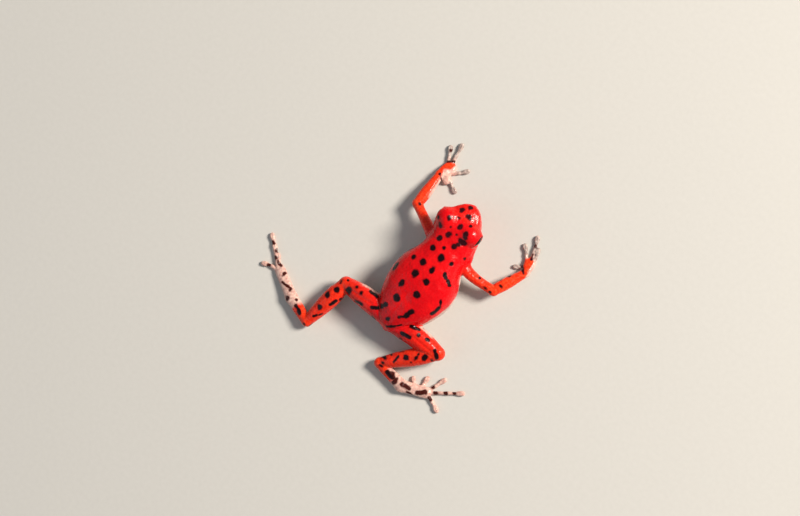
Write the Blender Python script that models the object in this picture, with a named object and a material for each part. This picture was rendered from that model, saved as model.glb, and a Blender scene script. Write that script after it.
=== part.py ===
"""Strawberry poison dart frog, life size, lying low with both arms reaching forward.

The frog is worked out in its own frame, in millimetres: X runs forward from the vent
to the snout, Y to the frog's left and Z up from the floor.  An empty turns it so that
the head points along -Y and the origin is under the middle of the whole animal.
Snout to vent it measures 20 mm.
"""
import math

import bmesh
import bpy
from mathutils import Matrix, Vector

MM = 0.001
GAP = 0.3                      # clear space between nodes that touch
EYE_GAP = 0.15                 # less round the eyeballs, whose lids are thin skin

# Body and head in cross section, along the spine.
# station, half width, top, level of the widest place, underside
BODY_TABLE = [
    (-0.05, 0.25, 2.75, 2.42, 2.18),
    (0.15, 0.85, 3.15, 2.37, 1.80),
    (0.75, 1.70, 3.78, 2.32, 0.95),
    (2.00, 2.65, 4.50, 2.30, 0.15),
    (4.00, 3.78, 5.35, 2.45, -0.05),
    (7.00, 4.60, 5.95, 2.60, -0.05),
    (9.50, 4.36, 6.05, 2.75, 0.15),
    (12.00, 3.28, 5.95, 2.95, 0.80),
    (14.30, 3.20, 6.00, 3.10, 1.45),
    (15.30, 3.25, 6.05, 3.25, 1.70),
    (16.60, 3.10, 6.00, 3.40, 1.95),
    (17.60, 2.62, 5.80, 3.55, 2.20),
    (18.60, 1.98, 5.45, 3.75, 2.60),
    (19.40, 1.25, 5.08, 3.95, 3.05),
    (19.80, 0.65, 4.75, 4.10, 3.45),
    (19.95, 0.22, 4.45, 4.15, 3.85),
]
# The spine leans a little to the frog's right at the chest.
SPINE_TABLE = [
    (-0.55, 0.0),
    (2.0, -0.10),
    (4.5, -0.33),
    (7.5, -0.50),
    (10.0, -0.52),
    (12.0, -0.50),
    (14.3, -0.32),
    (16.0, -0.02),
    (19.95, 0.03),
]
ROUND_ABOVE = 2.5              # power of the cross section's upper half, 2 is an ellipse
ROUND_BELOW = 2.2
BODY_RINGS = 46
BODY_SIDES = 36

NECK_X = 14.35
HEAD_ROLL = math.radians(7)    # the head leans over to the frog's right
ROLL_AXIS = Vector((0.0, 0.0, 3.2))
ROLL_START = 11.5              # where the chest begins to turn with it
MOUTH_SNOUT = Vector((19.7, 0.0, 3.62))
MOUTH_CORNER = Vector((14.9, 0.0, 2.80))
LIP_HEIGHT = 0.30              # of the soft roll along each jaw's edge
LIP_OUT = 0.10
JAW_TUCK = 0.97                # the lower jaw closes just inside the upper one

EYE = Vector((16.55, 2.19, 4.76))
EYE_RADIUS = 1.08
LID_CENTRE = Vector((16.55, 1.86, 4.84))
LID_RADIUS = 1.57
LID_OPENING = (0.98, 0.80)     # half length and half height of the gap between the lids
NOSTRIL = Vector((19.32, 0.98, 4.72))
NOSTRIL_RADIUS = 0.20
EARDRUM = Vector((15.02, 3.52, 4.02))
EARDRUM_RADIUS = 0.60

# Joints of the limbs, each as (left, right).
SHOULDER = (Vector((13.1, 1.6, 3.0)), Vector((13.1, -2.2, 3.0)))
ELBOW = (Vector((15.5, 6.85, 1.85)), Vector((12.6, -8.25, 1.7)))
WRIST = (Vector((20.3, 7.1, 0.80)), Vector((16.95, -10.0, 0.80)))
KNUCKLES = (Vector((21.75, 6.65, 0.42)), Vector((18.25, -9.65, 0.42)))
HIP = (Vector((1.9, 0.7, 2.65)), Vector((1.8, -0.7, 2.65)))
KNEE = (Vector((1.48, 7.95, 2.10)), Vector((1.75, -7.5, 1.95)))
HEEL = (Vector((-5.8, 9.4, 0.95)), Vector((-4.05, -1.80, 0.95)))
ANKLE = (Vector((-4.60, 13.15, 0.72)), Vector((-4.65, -5.95, 0.72)))
SOLE = (Vector((-2.85, 16.5, 0.42)), Vector((-3.40, -9.05, 0.42)))

# Flesh of each length of limb: fraction along it, half width, half height.
UPPER_ARM = [(0.0, 0.95, 0.90), (0.35, 0.78, 0.80), (0.75, 0.66, 0.68), (1.0, 0.66, 0.66)]
FOREARM = [(0.0, 0.66, 0.66), (0.35, 0.78, 0.74), (0.75, 0.66, 0.60), (1.0, 0.55, 0.50)]
THIGH = [(0.0, 1.70, 1.75), (0.35, 1.56, 1.58), (0.70, 1.34, 1.28), (1.0, 0.94, 0.94)]
SHANK = [(0.0, 0.90, 0.92), (0.35, 1.18, 1.15), (0.65, 1.05, 1.00), (1.0, 0.68, 0.66)]
TARSUS = [(0.0, 0.68, 0.66), (0.5, 0.76, 0.60), (1.0, 0.84, 0.52)]
PALM = [(0.0, 0.58, 0.48), (0.5, 0.80, 0.44), (1.0, 0.86, 0.36)]
FOOT_PAD = [(0.0, 0.84, 0.52), (0.5, 0.76, 0.44), (1.0, 0.76, 0.36)]

# A digit: its half width and height, and those of the pad at its tip.
DIGIT_HALF = 0.27
DISC_HALF = 0.37
DIGIT_LEVEL = 0.24
DISC_LENGTH = 0.62
# Digits as base, knuckle and tip over the floor, from the innermost out.
FINGERS_LEFT = [
    ((21.0, 6.35), (20.25, 5.35), (19.65, 4.20)),
    ((21.4, 5.95), (22.10, 5.10), (22.78, 4.50)),
    ((21.9, 6.70), (23.65, 7.00), (25.05, 7.25)),
    ((21.8, 7.05), (22.95, 7.75), (23.95, 8.30)),
]
FINGERS_RIGHT = [
    ((17.6, -9.45), (17.05, -8.80), (16.75, -8.25)),
    ((18.15, -9.20), (19.05, -8.35), (19.70, -7.65)),
    ((18.45, -9.55), (20.10, -8.98), (21.50, -8.35)),
    ((18.30, -9.95), (19.45, -9.75), (20.30, -9.40)),
]
TOES_LEFT = [
    ((-3.40, 15.4), (-2.85, 16.3), (-2.20, 17.0)),
    ((-3.10, 16.2), (-2.20, 17.4), (-1.35, 18.3)),
    ((-2.80, 16.9), (-1.65, 18.3), (-0.60, 19.5)),
    ((-2.80, 17.1), (-1.20, 18.85), (0.25, 20.6)),
    ((-3.05, 16.8), (-3.05, 18.1), (-3.45, 19.2)),
]
TOES_RIGHT = [
    ((-3.75, -7.5), (-3.35, -6.95), (-2.90, -6.50)),
    ((-3.35, -8.2), (-2.55, -8.10), (-1.80, -8.05)),
    ((-3.10, -9.1), (-1.75, -9.60), (-0.60, -10.0)),
    ((-3.15, -9.4), (-1.75, -11.3), (-0.50, -13.0)),
    ((-3.50, -9.4), (-3.95, -10.7), (-4.40, -11.6)),
]

# name: base colour, roughness
FINISHES = {
    "wet_red_skin": ((0.80, 0.01, 0.01, 1.0), 0.25),
    "orange_red_skin": ((0.85, 0.06, 0.02, 1.0), 0.28),
    "pale_spotted_skin": ((0.62, 0.42, 0.36, 1.0), 0.32),
    "dark_eye": ((0.01, 0.008, 0.008, 1.0), 0.08),
}


def clear_scene():
    """Remove whatever objects the file starts with."""
    for thing in list(bpy.data.objects):
        bpy.data.objects.remove(thing, do_unlink=True)


def finish_material(name):
    """One Principled material, made once for each finish."""
    if name in bpy.data.materials:
        return bpy.data.materials[name]
    colour, roughness = FINISHES[name]
    material = bpy.data.materials.new(name)
    material.use_nodes = True
    shader = material.node_tree.nodes["Principled BSDF"]
    shader.inputs["Base Color"].default_value = colour
    shader.inputs["Roughness"].default_value = roughness
    return material


def new_object(name, bm, collection):
    """Turn a bmesh into an object of the given collection."""
    bmesh.ops.recalc_face_normals(bm, faces=bm.faces)
    mesh = bpy.data.meshes.new(name)
    bm.to_mesh(mesh)
    bm.free()
    thing = bpy.data.objects.new(name, mesh)
    collection.objects.link(thing)
    return thing


def between(table, x):
    """Read a table of rows (x, value, ...) at x along a smooth curve through its rows."""
    x = min(max(x, table[0][0]), table[-1][0])
    last = len(table) - 2
    i = 0
    while i < last and x > table[i + 1][0]:
        i += 1
    left, right = table[i], table[i + 1]
    before = table[max(i - 1, 0)]
    after = table[min(i + 2, len(table) - 1)]
    span = right[0] - left[0]
    t = (x - left[0]) / span
    values = []
    for column in range(1, len(left)):
        slope_left = (right[column] - before[column]) / (right[0] - before[0]) * span
        slope_right = (after[column] - left[column]) / (after[0] - left[0]) * span
        values.append(
            (2 * t**3 - 3 * t**2 + 1) * left[column]
            + (t**3 - 2 * t**2 + t) * slope_left
            + (3 * t**2 - 2 * t**3) * right[column]
            + (t**3 - t**2) * slope_right
        )
    return values


def close_rings(bm, rings, first_tip, last_tip):
    """Join rings of points into one closed tube that ends in two points."""
    loops = [[bm.verts.new(point) for point in ring] for ring in rings]
    count = len(loops[0])
    for lower, upper in zip(loops, loops[1:]):
        for k in range(count):
            following = (k + 1) % count
            bm.faces.new((lower[k], lower[following], upper[following], upper[k]))
    for loop, tip in ((loops[0], first_tip), (loops[-1], last_tip)):
        pole = bm.verts.new(tip)
        for k in range(count):
            bm.faces.new((loop[k], loop[(k + 1) % count], pole))


def mouth_level(x):
    """Height of the closed mouth above a station of the head."""
    fraction = (x - MOUTH_CORNER.x) / (MOUTH_SNOUT.x - MOUTH_CORNER.x)
    return MOUTH_CORNER.z + fraction * (MOUTH_SNOUT.z - MOUTH_CORNER.z)


def roll_matrix(angle):
    """A turn about the line that runs through the head from back to front."""
    there = Matrix.Translation(ROLL_AXIS)
    return there @ Matrix.Rotation(angle, 4, "X") @ there.inverted()


def body_loft(name, collection, grow=0.0, width_scale=1.0, twist=False):
    """Torso and head as one loft; grow swells it evenly, to trim what roots in it."""
    first, last = BODY_TABLE[0][0], BODY_TABLE[-1][0]
    rings = []
    for i in range(BODY_RINGS + 1):
        swing = 0.5 - 0.5 * math.cos(math.pi * i / BODY_RINGS)
        x = first + (last - first) * (0.55 * swing + 0.45 * i / BODY_RINGS)
        half, top, level, bottom = between(BODY_TABLE, x)
        centre = between(SPINE_TABLE, x)[0]
        half = half * width_scale
        ring = []
        for k in range(BODY_SIDES):
            angle = 2 * math.pi * k / BODY_SIDES
            c, s = math.cos(angle), math.sin(angle)
            power = 2 / (ROUND_ABOVE if s > 0 else ROUND_BELOW)
            height = (top - level if s > 0 else level - bottom) + grow
            y = (half + grow) * math.copysign(abs(c) ** power, c)
            z = level + height * math.copysign(abs(s) ** power, s)
            if x > NECK_X:
                lip = math.exp(-(((z - mouth_level(x)) / LIP_HEIGHT) ** 2))
                y += math.copysign(LIP_OUT * lip, y) * min(1.0, abs(y))
            ring.append(Vector((x, centre + y, z)))
        if twist:
            share = min(1.0, max(0.0, (x - ROLL_START) / (NECK_X - ROLL_START)))
            turn = roll_matrix(HEAD_ROLL * share * share * (3 - 2 * share))
            ring = [turn @ point for point in ring]
        rings.append(ring)
    start, end = BODY_TABLE[0], BODY_TABLE[-1]
    bm = bmesh.new()
    close_rings(
        bm,
        rings,
        Vector((start[0] - 0.1 - grow, 0.0, start[3])),
        Vector((end[0] + 0.03 + grow, 0.0, end[3])),
    )
    return new_object(name, bm, collection)


def smooth_path(points, count):
    """Points along a smooth curve through two or three given ones."""
    if len(points) == 2:
        return [points[0].lerp(points[1], i / count) for i in range(count + 1)]
    first, middle, last = points
    reach = (middle - first).length / ((middle - first).length + (last - middle).length)
    table = [(0.0, *first), (reach, *middle), (1.0, *last)]
    return [Vector(between(table, i / count)) for i in range(count + 1)]


def tube(name, collection, points, sizes, steps=9, sides=14, cap_steps=3):
    """A round-ended length of flesh along a path, wider or flatter as its sizes say."""
    path = smooth_path(points, steps)
    rings = []
    tips = []
    for i, point in enumerate(path):
        ahead = path[min(i + 1, steps)] - path[max(i - 1, 0)]
        tangent = ahead.normalized()
        side = Vector((0, 0, 1)).cross(tangent).normalized()
        up = tangent.cross(side)
        half, tall = between(sizes, i / steps)
        stops = [(0.0, 1.0)]
        if i == 0:
            turns = [math.pi / 2 * k / (cap_steps + 1) for k in range(cap_steps, 0, -1)]
            stops = [(-math.sin(a) * half, math.cos(a)) for a in turns] + stops
            tips.append(point - tangent * half)
        if i == steps:
            turns = [math.pi / 2 * k / (cap_steps + 1) for k in range(1, cap_steps + 1)]
            stops = stops + [(math.sin(a) * half, math.cos(a)) for a in turns]
            tips.append(point + tangent * half)
        for shift, scale in stops:
            centre = point + tangent * shift
            angles = [2 * math.pi * (k + 0.5) / sides for k in range(sides)]
            rings.append(
                [
                    centre + side * (half * scale * math.cos(a)) + up * (tall * scale * math.sin(a))
                    for a in angles
                ]
            )
    bm = bmesh.new()
    close_rings(bm, rings, tips[0], tips[1])
    return new_object(name, bm, collection)


def ball(name, collection, centre, radii, segments=20):
    """An ellipsoid, as a UV sphere."""
    bm = bmesh.new()
    bmesh.ops.create_uvsphere(bm, u_segments=segments, v_segments=segments // 2, radius=1.0)
    bmesh.ops.transform(bm, matrix=Matrix.Translation(centre) @ Matrix.Diagonal((*radii, 1.0)), verts=bm.verts)
    return new_object(name, bm, collection)


def digit(name, collection, marks):
    """A finger or toe, with the flat round pad at its tip."""
    base, knuckle, tip = [Vector((x, y, DIGIT_LEVEL)) for x, y in marks]
    length = (knuckle - base).length + (tip - knuckle).length
    pad = 1.0 - DISC_LENGTH / length
    sizes = [
        (0.0, DIGIT_HALF * 1.15, DIGIT_HALF * 1.1),
        (pad * 0.9, DIGIT_HALF, DIGIT_HALF),
        (0.5 + pad / 2, DISC_HALF, DIGIT_HALF),
        (1.0, DISC_HALF * 0.8, DIGIT_HALF * 0.9),
    ]
    return tube(name, collection, [base, knuckle, tip], sizes, steps=8, sides=10, cap_steps=2)


def evaluated_mesh(thing):
    """The object's mesh with its modifiers applied."""
    depsgraph = bpy.context.evaluated_depsgraph_get()
    return bpy.data.meshes.new_from_object(thing.evaluated_get(depsgraph))


def apply_boolean(thing, others, operation):
    """Union or cut with a collection of closed objects, which is then removed."""
    group = bpy.data.collections.new("Cutters")
    bpy.context.scene.collection.children.link(group)
    for other in others:
        for holder in list(other.users_collection):
            holder.objects.unlink(other)
        group.objects.link(other)
    modifier = thing.modifiers.new(operation, "BOOLEAN")
    modifier.operation = operation
    modifier.operand_type = "COLLECTION"
    modifier.collection = group
    modifier.solver = "EXACT"
    bpy.context.view_layer.update()
    mesh = evaluated_mesh(thing)
    thing.modifiers.clear()
    thing.data = mesh
    for other in others:
        bpy.data.objects.remove(other, do_unlink=True)
    bpy.data.collections.remove(group)


def keep_side(thing, point, normal):
    """Cut the object with a plane, keep the side that the normal points to, and cap it."""
    bm = bmesh.new()
    bm.from_mesh(thing.data)
    cut = bmesh.ops.bisect_plane(
        bm,
        geom=list(bm.verts) + list(bm.edges) + list(bm.faces),
        dist=1e-5,
        plane_co=point,
        plane_no=normal,
        clear_inner=True,
    )
    edges = [item for item in cut["geom_cut"] if isinstance(item, bmesh.types.BMEdge)]
    bmesh.ops.holes_fill(bm, edges=edges, sides=0)
    bm.to_mesh(thing.data)
    bm.free()


def keep_largest(thing):
    """Drop every scrap but the largest closed surface, and leave triangles."""
    bm = bmesh.new()
    bm.from_mesh(thing.data)
    bmesh.ops.remove_doubles(bm, verts=bm.verts, dist=1e-3)
    bm.verts.ensure_lookup_table()
    left = set(bm.verts)
    islands = []
    while left:
        seed = left.pop()
        island, front = {seed}, [seed]
        while front:
            vert = front.pop()
            for edge in vert.link_edges:
                other = edge.other_vert(vert)
                if other in left:
                    left.remove(other)
                    island.add(other)
                    front.append(other)
        islands.append(island)
    islands.sort(key=len)
    scraps = [vert for island in islands[:-1] for vert in island]
    bmesh.ops.delete(bm, geom=scraps, context="VERTS")
    bmesh.ops.triangulate(bm, faces=bm.faces)
    bmesh.ops.recalc_face_normals(bm, faces=bm.faces)
    bm.to_mesh(thing.data)
    bm.free()


def joint_normal(before, joint, after):
    """Normal of the plane that halves the bend at a joint, pointing away from the body."""
    return ((joint - before).normalized() + (after - joint).normalized()).normalized()


def part_limb(thing, near, far):
    """Cut a length of limb at its two joints; each is (before, joint, after) or None."""
    if near:
        normal = joint_normal(*near)
        keep_side(thing, near[1] + normal * (GAP / 2), normal)
    if far:
        normal = joint_normal(*far)
        keep_side(thing, far[1] - normal * (GAP / 2), -normal)


def settle_on_floor(thing):
    """Press what reaches the floor flat, so that nothing is below it."""
    if min(vert.co.z for vert in thing.data.vertices) < 0:
        keep_side(thing, Vector((0, 0, 0)), Vector((0, 0, 1)))


def make_torso(collection):
    """Back, flanks and belly, up to the neck."""
    torso = body_loft("torso", collection, twist=True)
    keep_side(torso, Vector((NECK_X - GAP / 2, 0, 0)), Vector((-1, 0, 0)))
    return torso


def mouth_normal():
    """Normal of the closed mouth's plane, pointing up."""
    along = (MOUTH_SNOUT - MOUTH_CORNER).normalized()
    return Vector((-along.z, 0, along.x))


def make_head(collection):
    """Upper head with its lids, eye sockets, nostrils and eardrums."""
    head = body_loft("head", collection)
    domes, holes = [], []
    for side in (1, -1):
        mirror = Matrix.Diagonal((1, side, 1))
        domes.append(ball("lid", collection, mirror @ LID_CENTRE, [LID_RADIUS] * 3, 32))
        socket_radius = EYE_RADIUS + EYE_GAP
        holes.append(ball("socket", collection, mirror @ EYE, [socket_radius] * 3, 32))
        half_length, half_height = LID_OPENING
        opening = tube(
            "opening",
            collection,
            [mirror @ EYE, mirror @ (EYE + Vector((0, 3, -0.4)))],
            [(0.0, half_length, half_height), (1.0, half_length, half_height)],
            steps=2,
            sides=20,
        )
        holes.append(opening)
        holes.append(ball("nostril", collection, mirror @ NOSTRIL, [NOSTRIL_RADIUS] * 3, 10))
        holes.append(ball("eardrum", collection, mirror @ EARDRUM, [EARDRUM_RADIUS] * 3, 16))
    apply_boolean(head, domes, "UNION")
    for hole in holes:
        apply_boolean(head, [hole], "DIFFERENCE")
    keep_side(head, Vector((NECK_X + GAP / 2, 0, 0)), Vector((1, 0, 0)))
    normal = mouth_normal()
    keep_side(head, MOUTH_SNOUT + normal * (GAP / 2), normal)
    return head


def make_lower_jaw(collection):
    """Lower jaw and throat, parted from the head along the line of the mouth."""
    jaw = body_loft("lower_jaw", collection, width_scale=JAW_TUCK)
    keep_side(jaw, Vector((NECK_X + GAP / 2, 0, 0)), Vector((1, 0, 0)))
    normal = mouth_normal()
    keep_side(jaw, MOUTH_SNOUT - normal * (GAP / 2), -normal)
    return jaw


def make_eyes(collection):
    """Two eyeballs, each free in its socket by the gap."""
    eyes = []
    for side, word in ((1, "left"), (-1, "right")):
        centre = Matrix.Diagonal((1, side, 1)) @ EYE
        eyes.append(ball(f"eye_{word}", collection, centre, [EYE_RADIUS] * 3, 24))
    return eyes


def make_arm(collection, index, word):
    """Upper arm, forearm and hand of one side."""
    shoulder, elbow, wrist, knuckles = SHOULDER[index], ELBOW[index], WRIST[index], KNUCKLES[index]
    bend = (shoulder, elbow, wrist)
    turn = (elbow, wrist, knuckles)
    upper = tube(f"upper_arm_{word}", collection, [shoulder, elbow], UPPER_ARM)
    apply_boolean(upper, [body_loft("body_clearance", collection, grow=GAP, twist=True)], "DIFFERENCE")
    part_limb(upper, None, bend)
    lower = tube(f"forearm_{word}", collection, [elbow, wrist], FOREARM)
    part_limb(lower, bend, turn)
    hand = tube(f"hand_{word}", collection, [wrist, knuckles], PALM, steps=5)
    part_limb(hand, turn, None)
    marks = FINGERS_LEFT if index == 0 else FINGERS_RIGHT
    fingers = [digit("finger", collection, row) for row in marks]
    apply_boolean(hand, fingers, "UNION")
    return [upper, lower, hand]


def make_leg(collection, index, word):
    """Thigh, shank, tarsus and foot of one side."""
    hip, knee, heel, ankle, sole = HIP[index], KNEE[index], HEEL[index], ANKLE[index], SOLE[index]
    fold = (hip, knee, heel)
    turn = (knee, heel, ankle)
    flex = (heel, ankle, sole)
    thigh = tube(f"thigh_{word}", collection, [hip, knee], THIGH, sides=18)
    apply_boolean(thigh, [body_loft("body_clearance", collection, grow=GAP, twist=True)], "DIFFERENCE")
    part_limb(thigh, None, fold)
    shank = tube(f"shank_{word}", collection, [knee, heel], SHANK, sides=16)
    part_limb(shank, fold, turn)
    tarsus = tube(f"tarsus_{word}", collection, [heel, ankle], TARSUS, steps=6)
    part_limb(tarsus, turn, flex)
    foot = tube(f"foot_{word}", collection, [ankle, sole], FOOT_PAD, steps=6)
    part_limb(foot, flex, None)
    marks = TOES_LEFT if index == 0 else TOES_RIGHT
    toes = [digit("toe", collection, row) for row in marks]
    apply_boolean(foot, toes, "UNION")
    return [thigh, shank, tarsus, foot]


def place_nodes(nodes, collection):
    """Turn the frog's frame to the floor frame, centred under the whole animal."""
    points = [vert.co for node in nodes for vert in node.data.vertices]
    middle_x = (min(p.x for p in points) + max(p.x for p in points)) / 2
    middle_y = (min(p.y for p in points) + max(p.y for p in points)) / 2
    frame = bpy.data.objects.new("frog_frame", None)
    collection.objects.link(frame)
    frame.rotation_euler = (0, 0, -math.pi / 2)
    frame.location = (-middle_y * MM, middle_x * MM, 0)
    for node in nodes:
        node.data.transform(Matrix.Scale(MM, 4))
        node.parent = frame
        node.data.shade_smooth()
        node.data.set_sharp_from_angle(angle=math.radians(40))


def main():
    clear_scene()
    collection = bpy.data.collections.new("Strawberry poison dart frog")
    bpy.context.scene.collection.children.link(collection)
    reds = [make_torso(collection), make_head(collection), make_lower_jaw(collection)]
    eyes = make_eyes(collection)
    limbs = []
    for index, word in enumerate(("left", "right")):
        limbs += make_arm(collection, index, word)
        limbs += make_leg(collection, index, word)
    for thing in reds[1:] + eyes:
        thing.data.transform(roll_matrix(HEAD_ROLL))
    nodes = reds + eyes + limbs
    for node in nodes:
        settle_on_floor(node)
        keep_largest(node)
        finish = "orange_red_skin"
        if node in reds or node.name.startswith("thigh"):
            finish = "wet_red_skin"
        if node in eyes:
            finish = "dark_eye"
        if node.name.startswith(("foot", "tarsus", "hand")):
            finish = "pale_spotted_skin"
        node.data.materials.clear()
        node.data.materials.append(finish_material(finish))
    place_nodes(nodes, collection)


main()
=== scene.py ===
"""Strawberry poison dart frog: one wet skin over the whole body, two eyes, a pale floor.

The skin is worked out in the frog's own frame, in millimetres: x runs forward from the
vent to the snout, y to the frog's left and z up from the floor.  Flesh is described by
how far any point lies from it, so that limbs, lids and folds flow into each other, and
the surface is then drawn through the points that lie at no distance.
"""
import math
from functools import partial

import bpy
import numpy as np
from mathutils import Matrix, Vector


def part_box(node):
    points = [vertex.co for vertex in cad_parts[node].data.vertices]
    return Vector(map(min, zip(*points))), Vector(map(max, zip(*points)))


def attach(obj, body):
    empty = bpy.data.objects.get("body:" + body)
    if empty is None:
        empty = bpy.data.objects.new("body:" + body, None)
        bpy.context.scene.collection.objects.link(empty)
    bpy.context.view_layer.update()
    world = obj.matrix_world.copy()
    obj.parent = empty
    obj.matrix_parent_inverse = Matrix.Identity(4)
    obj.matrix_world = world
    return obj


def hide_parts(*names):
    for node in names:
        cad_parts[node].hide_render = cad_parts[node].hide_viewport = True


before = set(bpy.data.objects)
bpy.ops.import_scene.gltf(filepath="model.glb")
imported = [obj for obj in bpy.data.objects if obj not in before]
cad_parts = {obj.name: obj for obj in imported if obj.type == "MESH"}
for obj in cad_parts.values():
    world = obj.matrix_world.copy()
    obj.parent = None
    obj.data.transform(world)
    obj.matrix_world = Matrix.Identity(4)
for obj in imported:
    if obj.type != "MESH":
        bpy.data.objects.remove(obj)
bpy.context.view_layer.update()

MM = 0.001

# Body and head in cross section, along the spine.
# station, half width, top, level of the widest place, underside
BODY_TABLE = [
    (-0.05, 0.25, 2.75, 2.42, 2.18), (0.15, 0.85, 3.15, 2.37, 1.8), (0.75, 1.7, 3.78, 2.32, 0.95),
    (2.0, 2.65, 4.5, 2.3, 0.15), (4.0, 3.78, 5.35, 2.45, -0.05), (7.0, 4.6, 5.95, 2.6, -0.05),
    (9.5, 4.36, 6.05, 2.75, 0.15), (12.0, 3.28, 5.95, 2.95, 0.8), (14.3, 3.2, 6.0, 3.1, 1.45),
    (15.3, 3.25, 6.05, 3.25, 1.7), (16.6, 3.1, 6.0, 3.4, 1.95), (17.6, 2.62, 5.8, 3.55, 2.2),
    (18.6, 1.98, 5.45, 3.75, 2.6), (19.4, 1.25, 5.08, 3.95, 3.05), (19.8, 0.65, 4.75, 4.1, 3.45),
    (19.95, 0.22, 4.45, 4.15, 3.85),
]
# The spine leans a little to the frog's right at the chest.
SPINE_TABLE = [
    (-0.55, 0.0), (2.0, -0.1), (4.5, -0.33), (7.5, -0.5), (10.0, -0.52), (12.0, -0.5),
    (14.3, -0.32), (16.0, -0.02), (19.95, 0.03),
]
# How square the cross sections are, and how far body and snout reach past the table.
ROUND_ABOVE = 2.5
ROUND_BELOW = 2.2
REAR_ROUNDING = 0.08
SNOUT_ROUNDING = 0.03

MOUTH_SNOUT = (19.7, 3.62)
MOUTH_CORNER = (14.95, 2.80)
MOUTH_BOW = 0.10
EYE = np.array((16.55, 2.19, 4.76))
EYE_RADIUS = 1.20
CORNEA_PROUD = 0.012           # share of the radius
PUPIL_LONGER = 1.30            # how many times as long as high the pupil is
IRIS_HALF = 0.744              # half height of the iris
LID_CENTRE = np.array((16.55, 1.86, 4.84))
LID_RADII = (1.50, 1.40, 1.50)
LID_OPENING = (1.00, 0.88)
LID_THICKNESS = 0.12
NOSTRIL = np.array((19.30, 1.06, 4.70))
EARDRUM = np.array((15.02, 3.02, 4.02))

# The head leans over to the frog's right, about a line at one level. The chest turns with it,
# less and less towards the rear, out to the sides and down to the floor.
HEAD_ROLL = math.radians(7.0)
ROLL_AXIS = 3.2
ROLL_STATIONS = (11.5, 14.35)
ROLL_SIDES = (6.3, 3.6)
ROLL_LEVELS = (0.9, 1.6)

# Joints of the limbs, each as (left, right).
SHOULDER = ((13.1, 1.6, 3.0), (13.1, -2.2, 3.0))
UPPER_ARM_MIDDLE = ((14.3, 4.2, 2.45), (12.45, -5.1, 2.4))
ELBOW = ((15.5, 6.85, 1.85), (12.6, -8.25, 1.7))
WRIST = ((20.3, 7.1, 0.80), (16.95, -10.0, 0.80))
KNUCKLES = ((21.75, 6.65, 0.42), (18.25, -9.65, 0.42))
HIP = ((1.9, 0.7, 2.65), (1.8, -0.7, 2.65))
KNEE = ((1.48, 7.95, 2.10), (1.75, -7.5, 1.95))
HEEL = ((-5.8, 9.4, 0.95), (-4.05, -1.80, 0.95))
ANKLE = ((-4.60, 13.15, 0.72), (-4.65, -5.95, 0.72))
SOLE = ((-2.85, 16.5, 0.42), (-3.40, -9.05, 0.42))

# Flesh of each length of limb: fraction along it, half width, half height.
UPPER_ARM = [(0.0, 0.95, 0.90), (0.35, 0.78, 0.80), (0.75, 0.66, 0.68), (1.0, 0.66, 0.66)]
FOREARM = [(0.0, 0.66, 0.66), (0.35, 0.78, 0.74), (0.75, 0.66, 0.60), (1.0, 0.55, 0.50)]
THIGH = [(0.0, 1.70, 1.30), (0.20, 1.64, 1.34), (0.40, 1.54, 1.50), (0.70, 1.34, 1.28), (1.0, 0.94, 0.94)]
SHANK = [(0.0, 0.90, 0.92), (0.35, 1.18, 1.15), (0.65, 1.05, 1.00), (1.0, 0.68, 0.66)]
TARSUS = [(0.0, 0.68, 0.66), (0.5, 0.76, 0.60), (1.0, 0.84, 0.52)]
PALMS = (
    [(0.0, 0.58, 0.48), (0.5, 0.80, 0.44), (1.0, 0.86, 0.36)],
    [(0.0, 0.54, 0.46), (0.5, 0.68, 0.44), (1.0, 0.76, 0.36)],
)
FOOT_PAD = [(0.0, 0.84, 0.52), (0.5, 0.76, 0.44), (1.0, 0.76, 0.36)]
# The fleshy base of the left hand's first finger, and the swell of the right shoulder.
THUMB_PAD = ((20.70, 6.60, 0.46), (20.15, 6.05, 0.40))
THUMB_PAD_SIZES = [(0.0, 0.68, 0.48), (1.0, 0.56, 0.38)]
SHOULDER_SWELL = ((13.70, -2.95, 2.9), (1.15, 0.95, 1.0))
# Where the body's flank lies over each thigh.
THIGH_CREASES = (
    ((3.55, 3.25, 3.1), (2.65, 2.60, 3.7), (1.70, 1.95, 3.9), (0.35, 0.85, 3.6)),
    ((3.45, -3.35, 3.1), (2.60, -2.75, 3.7), (1.70, -2.10, 3.9), (0.35, -0.85, 3.6)),
)

# A digit's half width, its pad's half width and length, and the levels of its middle, its
# top and the sinews that run to it.
DIGIT_HALF = 0.225
DISC_HALF = 0.345
DISC_LENGTH = 0.62
DIGIT_LEVEL = 0.24
DIGIT_TOP = 0.46
SINEW_LEVEL = 0.62
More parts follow.
